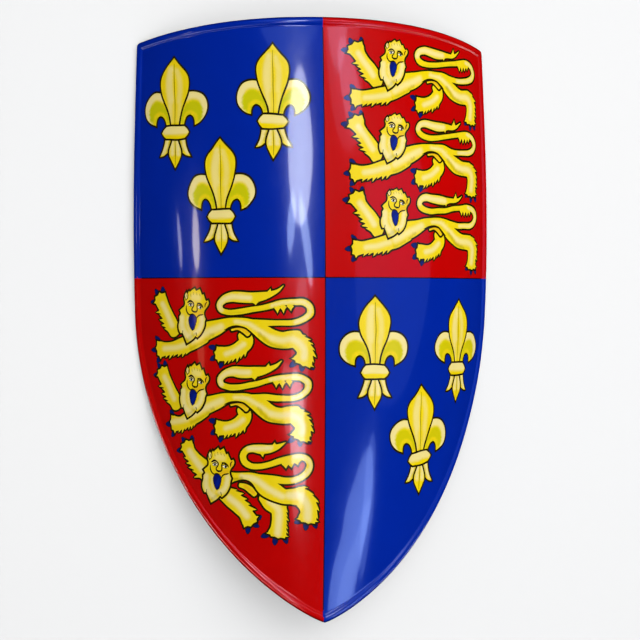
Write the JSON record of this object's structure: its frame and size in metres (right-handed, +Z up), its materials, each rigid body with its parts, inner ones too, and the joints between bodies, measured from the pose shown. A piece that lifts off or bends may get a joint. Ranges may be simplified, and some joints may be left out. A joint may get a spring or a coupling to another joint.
{
  "type": "heater shield",
  "caption": "Bent steel heater shield with a raised rim, a quartered painted face and leather arm straps behind, lying face up.",
  "frame": {"origin": "on the ground below the centre of the shield's box, the shield lying face up on its edge", "axes": "+Z up, out of the painted face; +Y towards the top edge, the point towards -Y; +X to the right as the face is looked at"},
  "size_m": [0.435, 0.7106, 0.112],
  "materials": {
    "painted_steel": "glossy brushed enamel, blue and red quarters with gold figures, black lacquer behind",
    "strap_leather": "brown oiled harness leather with burnished edges",
    "rivet_steel": "domed steel rivet heads, lightly worn"
  },
  "bodies": {
    "root": {"shield": "painted_steel", "forearm_strap": "strap_leather", "hand_strap": "strap_leather", "forearm_strap_rivet_1": "rivet_steel", "forearm_strap_rivet_2": "rivet_steel", "forearm_strap_rivet_3": "rivet_steel", "forearm_strap_rivet_4": "rivet_steel", "hand_strap_rivet_1": "rivet_steel", "hand_strap_rivet_2": "rivet_steel", "hand_strap_rivet_3": "rivet_steel", "hand_strap_rivet_4": "rivet_steel"}
  },
  "joints": []
}
